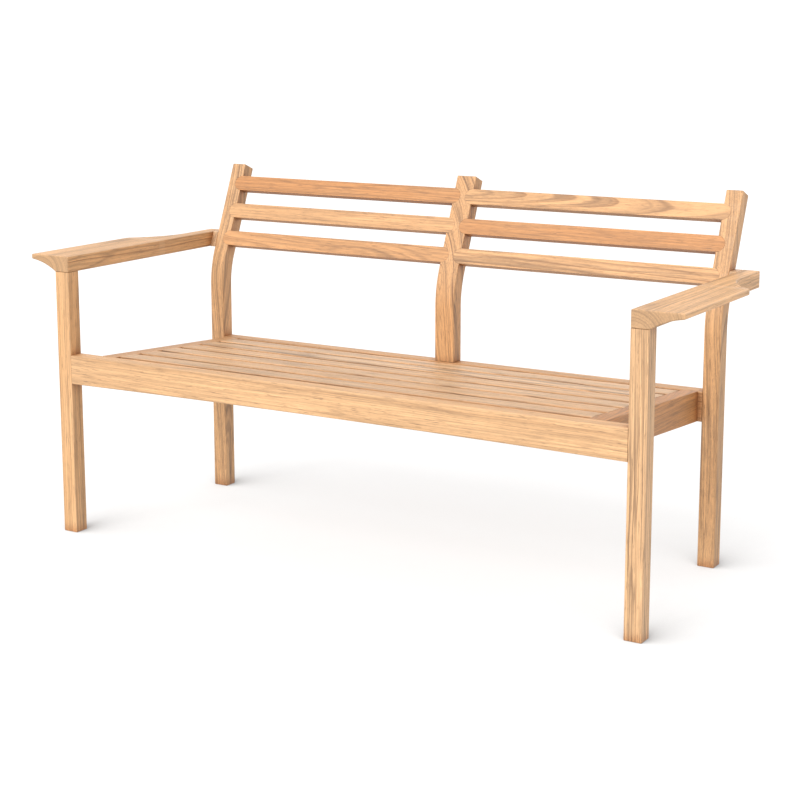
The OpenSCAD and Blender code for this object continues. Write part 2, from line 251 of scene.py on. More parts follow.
def eased_outline(low, high, ease, steps=3):
    """Corner points of an upright rectangle with rounded corners, anticlockwise."""
    points = []
    corners = ((high[0], low[1], -90), (high[0], high[1], 0), (low[0], high[1], 90), (low[0], low[1], 180))
    for cx, cy, start in corners:
        mx = cx - ease if cx == high[0] else cx + ease
        my = cy - ease if cy == high[1] else cy + ease
        for step in range(steps + 1):
            a = math.radians(start + 90 * step / steps)
            points.append((mx + ease * math.cos(a), my + ease * math.sin(a)))
    return np.array(points)


def drawn_in(outline, depth):
    """The outline moved inwards by a small depth."""
    ahead, behind = np.roll(outline, -1, 0), np.roll(outline, 1, 0)
    run = ahead - behind
    run /= np.linalg.norm(run, axis=1)[:, None] + 1e-12
    return outline + depth * np.stack([-run[:, 1], run[:, 0]], 1)


def eased_ends(stations, ease, steps=3):
    """Places along a board and how far its outline is drawn in there, with both ends rounded."""
    first, last = stations[0], stations[-1]
    start = [(first + ease * (1 - math.cos(math.radians(90 * s / steps))),
              ease * (1 - math.sin(math.radians(90 * s / steps)))) for s in range(steps)]
    end = [(first + last - place, depth) for place, depth in reversed(start)]
    middle = [(s, 0.0) for s in [first + ease, *stations[1:-1], last - ease]]
    return start + middle + end


def lofted(name, rings, material):
    """A closed board through a row of rings, which all have the same number of points."""
    n = len(rings[0])
    vertices = [tuple(p) for ring in rings for p in ring]
    faces = [tuple(reversed(range(n))), tuple((len(rings) - 1) * n + k for k in range(n))]
    for r in range(len(rings) - 1):
        for k in range(n):
            faces.append((r * n + k, r * n + (k + 1) % n, (r + 1) * n + (k + 1) % n, (r + 1) * n + k))
    mesh = bpy.data.meshes.new(name)
    mesh.from_pydata(vertices, [], faces)
    mesh.update()
    return finished(name, mesh, material)


def finished(name, mesh, material):
    """A piece from its mesh: faces out, curved faces smooth, edges over 12 degrees sharp."""
    bm = bmesh.new()
    bm.from_mesh(mesh)
    bmesh.ops.remove_doubles(bm, verts=bm.verts, dist=1e-6)
    bmesh.ops.recalc_face_normals(bm, faces=bm.faces)
    bm.to_mesh(mesh)
    bm.free()
    mesh.shade_smooth()
    mesh.set_sharp_from_angle(angle=math.radians(12))
    mesh.materials.clear()
    mesh.materials.append(material)
    piece = bpy.data.objects.new(name, mesh)
    bpy.context.scene.collection.objects.link(piece)
    return piece


arm_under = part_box("armrest_left")[0].z
for side, heart, drift, tone, streaks, place in (
    ("left", (0.140, 0.060), (0.004, 0.006), 0.90, 0.35, 0.4),
    ("right", (0.034, 0.036), (0.008, 0.016), 0.50, 0.85, 5.3),
):
    low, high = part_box("front_leg_" + side)
    outline = eased_outline((low.x, low.y), (high.x, high.y), LEG_EASE)
    # Only the foot is rounded: the top is cut square under the armrest
    foot = eased_ends([0.0, arm_under], LEG_EASE)[:-4]
    rings = [[(x, y, z) for x, y in drawn_in(outline, depth)] for z, depth in foot]
    rings.append([(x, y, arm_under) for x, y in outline])
    leg = lofted("leg_front_" + side, rings, teak_pale)
    lay_grain(leg, [board(heart, drift, place, tone, streaks, 0.7)], along=(0, 0, 1), side=(1, 0, 0))
    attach(leg, "root")
    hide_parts("front_leg_" + side)

# ---------------------------------------------------------------- rails
# Front, rear and side rails are solid teak boards on edge, tenoned into the legs. The front
# rail is shallowly hollowed along its underside. The side rails fall with the seat.

RAIL_EASE = 0.0025
RAIL_ARCH = 0.005
SIDE_EASE = 0.0018
END_EASE = 0.0006
SLOPING_END_EASE = 0.0012
# How far the seat falls for each metre towards the rear
SEAT_FALL = -0.066

teak_honey = teak("teak_honey", pale=(0.580, 0.336, 0.158, 1), honey=(0.452, 0.200, 0.066, 1),
                  brown=(0.260, 0.120, 0.044, 1), streak=(0.110, 0.054, 0.026, 1))

leg_low, leg_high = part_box("front_leg_right")
rail_low, rail_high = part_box("front_rail")
half = leg_low.x
stations = [half * (2 * i / 48 - 1) for i in range(49)]
rings = []
for x, depth in eased_ends(stations, END_EASE, 2):
    floor_z = rail_low.z + RAIL_ARCH * max(0.0, 1 - (x / half) ** 2)
    outline = eased_outline((rail_low.y, floor_z), (rail_high.y, rail_high.z), RAIL_EASE)
    rings.append([(x, y, z) for y, z in drawn_in(outline, depth)])
rail = lofted("rail_front", rings, teak_pale)
lay_grain(rail, [board((0.060, 0.170), (0.004, 0.008), 2.2, 0.60, 0.25, 0.40)])
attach(rail, "root")
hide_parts("front_rail")

post_low, post_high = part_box("rear_leg_right")
rear_low, rear_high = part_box("rear_rail")
outline = eased_outline((rear_low.y, rear_low.z), (rear_high.y, rear_high.z), RAIL_EASE)
stations = eased_ends([-post_low.x, post_low.x], END_EASE, 2)
rings = [[(x, y, z) for y, z in drawn_in(outline, depth)] for x, depth in stations]
rail = lofted("rail_rear", rings, teak_honey)
lay_grain(rail, [board((0.12, 0.09), (0.012, 0.018), 8.1, 0.35, 0.35, 0.6)])
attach(rail, "root")
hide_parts("rear_rail")

# The seat falls from the inner edge of the front rail to the inner edge of the rear rail
seat_front = Vector((0, rail_high.y, rail_high.z))
seat_rear = Vector((0, rear_low.y, rear_high.z))
rail_height = rear_high.z - rear_low.z


def sloping_board(name, x0, x1, drop, height, ease, material):
    """A board between the front and rear rails, its top that far below the seat."""
    outline = eased_outline((x0, -height), (x1, 0), ease)
    rings = []
    for place, depth in eased_ends([0.0, 1.0], SLOPING_END_EASE, 2):
        at = seat_front.lerp(seat_rear, place)
        rings.append([(x, at.y, at.z - drop + z) for x, z in drawn_in(outline, depth)])
    return lofted(name, rings, material)


for side, heart, tone in (("left", (0.10, 0.05), 0.5), ("right", (0.035, 0.115), 0.85)):
    low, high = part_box("side_rail_" + side)
    rail = sloping_board("rail_side_" + side, low.x, high.x, 0.0, rail_height, SIDE_EASE, teak_honey)
    wood = board(heart, (0.02, 0.06), 3.3 * tone, tone, 0.3, 0.5)
    lay_grain(rail, [wood], along=(0, 1, SEAT_FALL), side=(1, 0, 0))
    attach(rail, "root")
    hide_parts("side_rail_" + side)

# ---------------------------------------------------------------- seat
# Six eased slats run the length of the seat, let into the side rails and screwed from
# below through two cross bearers. The screws sit deep in round recesses.

SLAT_WIDTH = 0.060
SLAT_THICK = 0.020
SLAT_EASE = 0.0022
BEARER_HEIGHT = 0.040
BEARER_EASE = 0.0015

slope = (seat_rear - seat_front).length
slope_axis = (seat_rear - seat_front).normalized()
seat_normal = Vector((1, 0, 0)).cross(slope_axis)
seat_frame = Matrix((
    (1, 0, 0, 0),
    (0, slope_axis.y, seat_normal.y, seat_front.y),
    (0, slope_axis.z, seat_normal.z, seat_front.z),
    (0, 0, 0, 1),
))
slat_names = sorted(n for n in frame["nodes"] if n.startswith("seat_slat_"))
seat_gap = (slope - len(slat_names) * SLAT_WIDTH) / (len(slat_names) + 1)


def new_tree(name, inputs):
    """A geometry tree with named inputs; returns the tree, its input node and its output node."""
    tree = bpy.data.node_groups.new(name, "GeometryNodeTree")
    for label, value in inputs.items():
        kind = "Geometry" if value is None else "Int" if isinstance(value, int) else "Float"
        socket = tree.interface.new_socket(label, in_out="INPUT", socket_type="NodeSocket" + kind)
        if value is not None:
            socket.default_value = value
    tree.interface.new_socket("Geometry", in_out="OUTPUT", socket_type="NodeSocketGeometry")
    return tree, tree.nodes.new("NodeGroupInput").outputs, tree.nodes.new("NodeGroupOutput")


def grown(name, tree, values, material, place=None, points=(), finishing=()):
    """Runs a geometry tree on a holder of points and keeps the result as a plain mesh."""
    mesh = bpy.data.meshes.new(name)
    mesh.from_pydata([tuple(p) for p in points], [], [])
    holder = bpy.data.objects.new(name + "_holder", mesh)
    bpy.context.scene.collection.objects.link(holder)
    modifier = holder.modifiers.new("grow", "NODES")
    modifier.node_group = tree
    for item in tree.interface.items_tree:
        if item.in_out == "INPUT" and item.name in values:
            modifier[item.identifier] = values[item.name]
    for kind, settings in finishing:
        extra = holder.modifiers.new(kind.lower(), kind)
        for key, value in settings.items():
            setattr(extra, key, value)
    shape = bpy.data.meshes.new_from_object(holder.evaluated_get(bpy.context.evaluated_depsgraph_get()))
    bpy.data.objects.remove(holder)
    if place is not None:
        shape.transform(place)
    return finished(name, shape, material)


def eased_profile(tree, width, height, ease, steps=3):
    """A rectangle with rounded corners, as a curve."""
    sharp = add(tree, "GeometryNodeCurvePrimitiveQuadrilateral", {"Width": width, "Height": height})
    inputs = {"Curve": sharp.outputs[0], "Radius": ease, "Count": steps}
    return add(tree, "GeometryNodeFilletCurve", inputs, mode="POLY").outputs[0]


def swept(tree, path, profile):
    """A closed solid: the profile carried along the path."""
    inputs = {"Curve": path, "Profile Curve": profile, "Fill Caps": True}
    return add(tree, "GeometryNodeCurveToMesh", inputs).outputs[0]


def painted(tree, shape, material, result):
    """Ends a tree: the shape as a real mesh in its material."""
    real = add(tree, "GeometryNodeRealizeInstances", {0: shape}).outputs[0]
    coloured = add(tree, "GeometryNodeSetMaterial", {"Geometry": real, "Material": material})
    tree.links.new(coloured.outputs[0], result.inputs[0])


def marked(tree, shape, name, value, domain):
    """The shape with a value stored on it by name."""
    inputs = {"Geometry": shape, "Name": name, "Value": value}
    made = add(tree, "GeometryNodeStoreNamedAttribute", inputs, data_type="FLOAT", domain=domain)
    return made.outputs[0]


def numbered_copies(tree, points, shape):
    """A copy of the shape at each point, with its number in the slat attribute."""
    laid = add(tree, "GeometryNodeInstanceOnPoints", {"Points": points, "Instance": shape}).outputs[0]
    number = add(tree, "GeometryNodeInputIndex").outputs[0]
    return marked(tree, laid, "slat", number, "INSTANCE")


sizes = {"Slats": 6, "Pitch": 0.08, "Length": 1.2, "Width": 0.06, "Thickness": 0.02, "Ease": 0.002}
tree, given, result = new_tree("seat_slat_row", sizes)
profile = eased_profile(tree, given["Width"], given["Thickness"], given["Ease"])
run = add(tree, "GeometryNodeCurvePrimitiveLine", {"End": point_of(tree, given["Length"])}).outputs[0]
step = point_of(tree, 0.0, given["Pitch"])
row = add(tree, "GeometryNodeMeshLine", {"Count": given["Slats"], "Offset": step}).outputs[0]
painted(tree, numbered_copies(tree, row, swept(tree, run, profile)), teak_pale, result)

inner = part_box("side_rail_right")[0].x
start = Matrix.Translation((-inner, seat_gap + SLAT_WIDTH / 2, -SLAT_THICK / 2))
sizes = {"Slats": len(slat_names), "Pitch": SLAT_WIDTH + seat_gap, "Length": 2 * inner,
         "Width": SLAT_WIDTH, "Thickness": SLAT_THICK, "Ease": SLAT_EASE}
seat = grown("seat_slats", tree, sizes, teak_pale, seat_frame @ start)
lay_grain(seat, [
    board((0.060, 0.030), (0.010, 0.008), 1.7, 0.20, 0.75, 0.8),
    board((0.100, 0.030), (0.006, 0.008), 4.1, 0.45, 0.65, 0.6),
    board((-0.070, 0.030), (0.010, 0.006), 9.4, 0.05, 1.00, 0.8),
    board((0.110, 0.040), (0.008, 0.010), 13.0, 0.50, 0.60, 0.5),
    board((0.050, 0.040), (0.010, 0.012), 17.6, 0.10, 1.20, 0.7),
    board((0.080, 0.050), (0.008, 0.006), 21.2, 0.30, 1.00, 0.6),
], along=(1, 0, 0), side=(0, 1, 0))
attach(seat, "root")
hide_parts(*slat_names)


def drilled(piece, cutter):
    """The piece with a hole wherever the cutter is; the cutter goes."""
    hole = piece.modifiers.new("holes", "BOOLEAN")
    hole.object = cutter
    hole.solver = "EXACT"
    bpy.context.view_layer.update()
    mesh = bpy.data.meshes.new_from_object(piece.evaluated_get(bpy.context.evaluated_depsgraph_get()))
    name, material = piece.name, piece.data.materials[0]
    bpy.data.objects.remove(piece)
    bpy.data.objects.remove(cutter)
    return finished(name, mesh, material)


sizes = {"Geometry": None, "Width": 0.011, "Depth": 0.005, "Sides": 40}
peg_tree, given, result = new_tree("round_pegs", sizes)
half_width = sum_of(peg_tree, "MULTIPLY", given["Width"], 0.5)
inputs = {"Vertices": given["Sides"], "Radius": half_width, "Depth": given["Depth"]}
disc = add(peg_tree, "GeometryNodeMeshCylinder", inputs).outputs[0]
painted(peg_tree, numbered_copies(peg_tree, given["Geometry"], disc), teak_honey, result)

RECESS_WIDTH = 0.011
RECESS_DEPTH = 0.014
# The cutter for a recess stands this far out of the bearer's underside
CUTTER_OUT = 0.026

slat_middles = [seat_gap + SLAT_WIDTH / 2 + n * (SLAT_WIDTH + seat_gap) for n in range(len(slat_names))]
bearer_under = -SLAT_THICK - BEARER_HEIGHT
bearer_xs = []
for side, tone in (("left", 0.4), ("right", 0.6)):
    low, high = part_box("cross_bearer_" + side)
    bearer_xs.append((low.x + high.x) / 2)
    drop, height = SLAT_THICK / seat_normal.z, BEARER_HEIGHT / seat_normal.z
    bearer = sloping_board("bearer_" + side, low.x, high.x, drop, height, BEARER_EASE, teak_honey)
    depth = RECESS_DEPTH + CUTTER_OUT
    spots = [(bearer_xs[-1], y, bearer_under + RECESS_DEPTH - depth / 2) for y in slat_middles]
    recess = {"Width": RECESS_WIDTH, "Depth": depth, "Sides": 40}
    recesses = grown("recesses_" + side, peg_tree, recess, teak_honey, seat_frame, spots)
    bearer = drilled(bearer, recesses)
    wood = board((0.05, 0.08), (0.02, 0.05), 5 * tone, tone, 0.3, 0.6)
    lay_grain(bearer, [wood], along=(0, 1, SEAT_FALL), side=(1, 0, 0))
    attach(bearer, "root")
    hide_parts("cross_bearer_" + side)

# Stainless screws with flat round heads and a cross recess. Turning has left fine marks on them.
HEAD_WIDTH = 0.009
HEAD_HEIGHT = 0.003
SHANK_WIDTH = 0.0045
SCREW_IN_SLAT = 0.014
CROSS_WIDTH = 0.0048
CROSS_GAP = 0.0010
CROSS_DEPTH = 0.0012
# The shank starts below the cross recess
SHANK_START = 0.0016

steel = bpy.data.materials.new("screw_steel")
steel.use_nodes = True
t = steel.node_tree
t.nodes.clear()
at = add(t, "ShaderNodeTexCoord").outputs["Object"]
marks = add(t, "ShaderNodeTexNoise", {"Vector": at, "Scale": 2600.0, "Detail": 3.0}).outputs["Fac"]
stain = add(t, "ShaderNodeTexNoise", {"Vector": at, "Scale": 240.0, "Detail": 2.0}).outputs["Fac"]
shades = {0: stain, 6: (0.66, 0.65, 0.63, 1), 7: (0.42, 0.40, 0.37, 1)}
tint = add(t, "ShaderNodeMix", shades, data_type="RGBA").outputs[2]
dull = add(t, "ShaderNodeMapRange", {0: marks, 1: 0.3, 2: 0.7, 3: 0.24, 4: 0.46}).outputs[0]
relief = add(t, "ShaderNodeBump", {"Height": marks, "Strength": 0.3, "Distance": 0.0001}).outputs[0]
metal = {"Base Color": tint, "Metallic": 1.0, "Roughness": dull, "Normal": relief}
surface = add(t, "ShaderNodeBsdfPrincipled", metal)
add(t, "ShaderNodeOutputMaterial", {"Surface": surface.outputs[0]})

sizes = {"Geometry": None, "Head Width": 0.009, "Head Height": 0.003, "Width": 0.0045, "Length": 0.04}
screw_tree, given, result = new_tree("screws", sizes)


def lifted(shape, height):
    """A shape of the screw, moved up."""
    inputs = {"Geometry": shape, "Translation": point_of(screw_tree, z=height)}
    return add(screw_tree, "GeometryNodeTransform", inputs).outputs[0]


def turned_rod(width, length, sides):
    """A round rod of the screw, with its foot at the outer face of the head."""
    half_width = sum_of(screw_tree, "MULTIPLY", width, 0.5)
    inputs = {"Vertices": sides, "Radius": half_width, "Depth": length}
    rod = add(screw_tree, "GeometryNodeMeshCylinder", inputs).outputs[0]
    return lifted(rod, sum_of(screw_tree, "MULTIPLY", length, 0.5))


head = turned_rod(given["Head Width"], given["Head Height"], 32)
shank = lifted(turned_rod(given["Width"], given["Length"], 20), SHANK_START)
for blade in ((CROSS_WIDTH, CROSS_GAP, 2 * CROSS_DEPTH), (CROSS_GAP, CROSS_WIDTH, 2 * CROSS_DEPTH)):
    slit = add(screw_tree, "GeometryNodeMeshCube", {"Size": blade}).outputs[0]
    head = add(screw_tree, "GeometryNodeMeshBoolean", {0: head, 1: slit}, operation="DIFFERENCE").outputs[0]
joined = add(screw_tree, "GeometryNodeJoinGeometry")
screw_tree.links.new(head, joined.inputs[0])
screw_tree.links.new(shank, joined.inputs[0])
inputs = {"Points": given["Geometry"], "Instance": joined.outputs[0]}
laid = add(screw_tree, "GeometryNodeInstanceOnPoints", inputs).outputs[0]
painted(screw_tree, laid, steel, result)


def screws(name, node, place, points, length):
    """One group of screws: heads at the points, driven in along z of the place."""
    sizes = {"Head Width": HEAD_WIDTH, "Head Height": HEAD_HEIGHT, "Width": SHANK_WIDTH,
             "Length": length - SHANK_START}
    made = grown(name, screw_tree, sizes, steel, place, points)
    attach(made, "root")
    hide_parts(node)


head_face = bearer_under + RECESS_DEPTH - HEAD_HEIGHT
spots = [(x, y, head_face) for x in bearer_xs for y in slat_middles]
screws("seat_screw_set", "seat_screws", seat_frame, spots,
       HEAD_HEIGHT + BEARER_HEIGHT - RECESS_DEPTH + SCREW_IN_SLAT)

# ---------------------------------------------------------------- back slats
# Three slats in each bay of the back, 38 by 24 mm, with half-round ends let into the fronts
# of the posts and sanded flush with them. Their long edges are eased.

BACK_HEIGHT = 0.038
BACK_THICK = 0.024
BACK_PITCH = 0.075
BACK_EASE = 0.0026
# Middle of the top slat from the top edge of the posts, along the lean
FIRST_ROW = -0.052
# Clearance round a slat in its housing
HOUSING_GAP = 0.0003
# The cutters for the housings stand this far out of the posts
PROUD = 0.010

facing = Vector(mounts["back_front_left"]["axis"])
lean = math.atan2(facing.z, -facing.y)
post_depth = leg_high.y - leg_low.y
top_edge = Vector((0, post_high.y - post_depth * math.cos(lean), post_high.z))
back_frame = Matrix.Translation(top_edge) @ Matrix.Rotation(-lean, 4, "X")
middle_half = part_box("middle_post")[1].x
bay = post_low.x - middle_half

sizes = {"Rows": 3, "Pitch": 0.075, "Length": 0.68, "Height": 0.038, "Thickness": 0.024}
back_tree, given, result = new_tree("back_slat_bay", sizes)
round_end = sum_of(back_tree, "MULTIPLY", given["Height"], 0.49999)
profile = eased_profile(back_tree, given["Length"], given["Height"], round_end, 14)
through = point_of(back_tree, z=given["Thickness"])
run = add(back_tree, "GeometryNodeCurvePrimitiveLine", {"End": through}).outputs[0]
slat = swept(back_tree, run, profile)
ends = add(back_tree, "GeometryNodeInputMeshEdgeVertices").outputs
between_ends = {0: ends["Position 1"], 1: ends["Position 2"]}
apart = add(back_tree, "ShaderNodeVectorMath", between_ends, operation="DISTANCE").outputs["Value"]
long_edge = sum_of(back_tree, "GREATER_THAN", apart, 0.2)
# The edges round the ends are eased a third as much as the long ones, and those through the
# thickness are not edges of the real slat
reach = add(back_tree, "ShaderNodeVectorMath", between_ends, operation="SUBTRACT").outputs[0]
reach = add(back_tree, "ShaderNodeSeparateXYZ", {0: reach}).outputs
level = add(back_tree, "ShaderNodeMath", {0: reach[2], 1: 0.0, 2: 0.0001}, operation="COMPARE").outputs[0]
weight = sum_of(back_tree, "ADD", sum_of(back_tree, "MULTIPLY", long_edge, 0.65), 0.35)
weight = sum_of(back_tree, "MULTIPLY", weight, level)
slat = marked(back_tree, slat, "bevel_weight_edge", weight, "EDGE")
step = point_of(back_tree, 0.0, sum_of(back_tree, "MULTIPLY", given["Pitch"], -1.0))
row = add(back_tree, "GeometryNodeMeshLine", {"Count": given["Rows"], "Offset": step}).outputs[0]
painted(back_tree, numbered_copies(back_tree, row, slat), teak_honey, result)

# In the tree a slat lies flat with its thickness in z; this stands it up with its front face forwards
stood_up = Matrix(((1, 0, 0, 0), (0, 0, 1, 0), (0, 1, 0, 0), (0, 0, 0, 1)))


def back_bay(name, sign, grow=0.0, proud=0.0, finishing=()):
    """The slats of one bay, or the cutter for their housings, a little larger and standing proud."""
    place = Matrix.Translation((sign * (middle_half + bay / 2), -proud, FIRST_ROW))
    sizes = {"Rows": 3, "Pitch": BACK_PITCH, "Length": bay + BACK_HEIGHT + 2 * grow,
             "Height": BACK_HEIGHT + 2 * grow, "Thickness": BACK_THICK + grow + proud}
    return grown(name, back_tree, sizes, teak_honey, back_frame @ place @ stood_up, finishing=finishing)


rounding = [("BEVEL", {"width": BACK_EASE, "segments": 3, "limit_method": "WEIGHT"})]
looks = {
    "left": [board((0.150, 0.040), (0.004, 0.004), 2.9, 1.00, 0.45, 0.8),
             board((0.130, 0.050), (0.006, 0.008), 6.6, 0.35, 0.30, 0.45),
             board((0.060, 0.070), (0.012, 0.014), 11.1, 0.60, 0.35, 0.6)],
    "right": [board((0.004, 0.050), (0.020, 0.034), 15.7, 0.35, 0.60, 1.0),
              board((0.110, 0.070), (0.006, 0.010), 19.3, 0.85, 0.20, 0.4),
              board((0.070, 0.045), (0.008, 0.012), 24.5, 0.30, 0.50, 0.9)],
}
for side, sign in (("left", -1), ("right", 1)):
    slats = back_bay("back_slats_" + side, sign, finishing=rounding)
    lay_grain(slats, looks[side], along=(1, 0, 0), side=(0, 0, 1))
    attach(slats, "root")
    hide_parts(*("back_slat_%s_%s" % (side, row) for row in ("top", "middle", "bottom")))

# ---------------------------------------------------------------- bent posts
# Two rear legs and a middle post, each sawn in one piece with a smooth bend above the seat.
# They are housed in front for the slats and bored behind for screws and plugs.

POST_EASE = 0.0024
TOP_EASE = 0.0034
BEND_START = 0.540
BEND_RADIUS = 0.245
PLUG_WIDTH = 0.011
PLUG_HOLE_DEPTH = 0.008
PLUG_LENGTH = 0.0048
# A plug lies this little below the face of the post
PLUG_IN = 0.0001
# How much wider a hole is than its plug
PLUG_FIT = 0.0004
PLUG_EASE = 0.0003

bend_middle = BEND_RADIUS - post_depth / 2
straight = (post_high.z - BEND_START - BEND_RADIUS * math.sin(lean)) / math.cos(lean)
post_run = BEND_START + bend_middle * lean + straight

sizes = {"Run": 0.87, "Foot": 0.0, "Bend Start": 0.54, "Bend Radius": 0.226, "Lean": 0.39,
         "Width": 0.04, "Depth": 0.038, "Ease": 0.002}
post_tree, given, result = new_tree("bent_post", sizes)
profile = eased_profile(post_tree, given["Width"], given["Depth"], given["Ease"])
inputs = {"Start": point_of(post_tree, z=given["Foot"]), "End": point_of(post_tree, z=given["Run"])}
run = add(post_tree, "GeometryNodeCurvePrimitiveLine", inputs).outputs[0]
run = add(post_tree, "GeometryNodeResampleCurve", {"Curve": run, "Count": 150}).outputs[0]
bar = swept(post_tree, run, profile)
here = add(post_tree, "GeometryNodeInputPosition").outputs[0]
here = add(post_tree, "ShaderNodeSeparateXYZ", {0: here}).outputs


def calc(operation, first, second=0.0):
    return sum_of(post_tree, operation, first, second)


past = calc("SUBTRACT", here[2], given["Bend Start"])
turn = calc("MINIMUM", calc("MAXIMUM", calc("DIVIDE", past, given["Bend Radius"]), 0.0), given["Lean"])
bend_run = calc("MULTIPLY", given["Bend Radius"], given["Lean"])
beyond = calc("MAXIMUM", calc("SUBTRACT", past, bend_run), 0.0)
sine, cosine = calc("SINE", turn), calc("COSINE", turn)
back = calc("MULTIPLY", given["Bend Radius"], calc("SUBTRACT", 1.0, cosine))
back = calc("ADD", back, calc("MULTIPLY", beyond, calc("SINE", given["Lean"])))
back = calc("ADD", back, calc("MULTIPLY", here[1], cosine))
up = calc("ADD", calc("MINIMUM", here[2], given["Bend Start"]), calc("MULTIPLY", given["Bend Radius"], sine))
up = calc("ADD", up, calc("MULTIPLY", beyond, calc("COSINE", given["Lean"])))
up = calc("SUBTRACT", up, calc("MULTIPLY", here[1], sine))
inputs = {"Geometry": bar, "Position": point_of(post_tree, here[0], back, up)}
painted(post_tree, add(post_tree, "GeometryNodeSetPosition", inputs).outputs[0], teak_honey, result)

# Screws and plugs behind every slat end, in the frame of the back
screw_in = BACK_HEIGHT / 4
rows = [FIRST_ROW - BACK_PITCH * n for n in range(3)]
plug_xs = {
    "left": [-(post_low.x + screw_in)],
    "middle": [-(middle_half - screw_in), middle_half - screw_in],
    "right": [post_low.x + screw_in],
}

# In the tree a plug stands up; behind the posts its axis runs along y
from_behind = back_frame @ stood_up


def round_pieces(name, spots, width, depth, face, finishing=()):
    """Round pieces whose outer ends lie at y = face behind the posts."""
    points = [(x, z, face - depth / 2) for x, z in spots]
    sizes = {"Width": width, "Depth": depth, "Sides": 40}
    return grown(name, peg_tree, sizes, teak_honey, from_behind, points, finishing)


def eased(width, steps):
    """A bevel on every sharp edge."""
    limit = {"limit_method": "ANGLE", "angle_limit": math.radians(60)}
    return "BEVEL", {"width": width, "segments": steps, **limit}


bays = (("left", -1), ("right", 1))
housings = [back_bay("housing_" + side, sign, HOUSING_GAP, PROUD) for side, sign in bays]
posts = {
    "left": ("rear_leg_left", 0.0, board((0.090, 0.035), (0.03, 0.02), 3.7, 0.25, 0.75, 0.7)),
    "middle": ("middle_post", rear_high.z, board((0.020, 0.060), (0.07, 0.05), 7.9, 0.40, 0.75, 0.8)),
    "right": ("rear_leg_right", 0.0, board((0.110, 0.050), (0.02, 0.02), 12.4, 0.30, 0.65, 0.6)),
}
for side, (node, foot_z, wood) in posts.items():
    low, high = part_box(node)
    spots = [(x, z) for x in plug_xs[side] for z in rows]
    depth = PLUG_HOLE_DEPTH + PROUD
    holes = round_pieces("holes_" + side, spots, PLUG_WIDTH + PLUG_FIT, depth, post_depth + PROUD)
    cuts = [eased(TOP_EASE, 3)]
    for cutter in [*housings, holes]:
        cuts.append(("BOOLEAN", {"operation": "DIFFERENCE", "object": cutter, "solver": "EXACT"}))
    place = Matrix.Translation(((low.x + high.x) / 2, post_low.y + post_depth / 2, 0))
    sizes = {"Run": post_run, "Foot": foot_z, "Bend Start": BEND_START, "Bend Radius": bend_middle,
             "Lean": lean, "Width": high.x - low.x, "Depth": post_depth, "Ease": POST_EASE}
    for cutter in [*housings, holes]:
        cutter.matrix_world = place.inverted()
    bpy.context.view_layer.update()
    post = grown("post_" + side, post_tree, sizes, teak_honey, place, finishing=cuts)
    lay_grain(post, [wood], along=(0, 0.12, 1), side=(1, 0, 0))
    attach(post, "root")
    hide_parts(node)
    bpy.data.objects.remove(holes)
for cutter in housings:
    bpy.data.objects.remove(cutter)

spots = [(x, z) for side in posts for x in plug_xs[side] for z in rows]
plugs = round_pieces("screw_plug_set", spots, PLUG_WIDTH, PLUG_LENGTH, post_depth - PLUG_IN,
                     [eased(PLUG_EASE, 2)])
tones = (0.2, 0.7, 0.45)
woods = [board((0.03, 0.02 + 0.007 * n), (0, 0), 0.31 * n, tones[n % 3], 0.4, 0.8) for n in range(12)]
lay_grain(plugs, woods, along=(1, 0, 0.2), side=(0, 0, 1))
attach(plugs, "root")
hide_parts("screw_plugs")

# In the tree a screw points up; behind the posts it points forwards
pointing_forwards = back_frame @ Matrix(((1, 0, 0, 0), (0, 0, -1, 0), (0, 1, 0, 0), (0, 0, 0, 1)))
spots = [(x, z, PLUG_HOLE_DEPTH - HEAD_HEIGHT - post_depth) for x, z in spots]
screws("back_screw_set", "back_screws", pointing_forwards, spots,
       HEAD_HEIGHT + post_depth - PLUG_HOLE_DEPTH - BACK_THICK + SCREW_IN_SLAT)

# ---------------------------------------------------------------- armrests
# Each armrest is one thick board: a leg-wide bar with a wing outside it that is hollowed
# underneath to a thin edge and curves back into the bar before the rear leg.

ARM_EASE = 0.0024
TIP_THICK = 0.012
HOLLOW_RADIUS = 0.160
NOTCH_AT = 0.502
NOTCH_RADIUS = 0.180
WING_CORNER = 0.011

arm_low, arm_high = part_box("armrest_right")
bar_in, bar_out, tip = leg_low.x, leg_high.x, arm_high.x
rise = (arm_high.z - arm_low.z) - TIP_THICK
chord = math.hypot(tip - bar_out, rise) / 2
reach = math.sqrt(HOLLOW_RADIUS ** 2 - chord ** 2)
pitch_up = math.atan2(rise, tip - bar_out)
hollow_x = (bar_out + tip) / 2 + reach * math.sin(pitch_up)
hollow_z = arm_low.z + rise / 2 - reach * math.cos(pitch_up)


def underside(x):
    """Height of the armrest's underside at x."""
    if x <= bar_out:
        return arm_low.z
    return hollow_z + math.sqrt(HOLLOW_RADIUS ** 2 - (x - hollow_x) ** 2)


def outer_edge(y):
    """How far out the armrest reaches at a distance y behind its front end."""
    if y >= NOTCH_AT:
        return bar_out
    before = NOTCH_AT - y
    if before >= NOTCH_RADIUS:
        return tip
    return min(bar_out + NOTCH_RADIUS - math.sqrt(NOTCH_RADIUS ** 2 - before ** 2), tip)


corner_at = NOTCH_AT - math.sqrt(NOTCH_RADIUS ** 2 - (NOTCH_RADIUS - (tip - bar_out)) ** 2)
stations = [0.0, 0.05, 0.15, 0.25, corner_at - 0.03]
stations += [corner_at - 0.012 + 0.0008 * n for n in range(31)]
stations += [corner_at + 0.016 + (NOTCH_AT - corner_at - 0.016) * n / 26 for n in range(27)]
stations += [NOTCH_AT + 0.04, arm_high.y - arm_low.y]
samples = np.linspace(-WING_CORNER, WING_CORNER, 41)
weights = np.sqrt(np.maximum(1 - (samples / WING_CORNER) ** 2, 0))


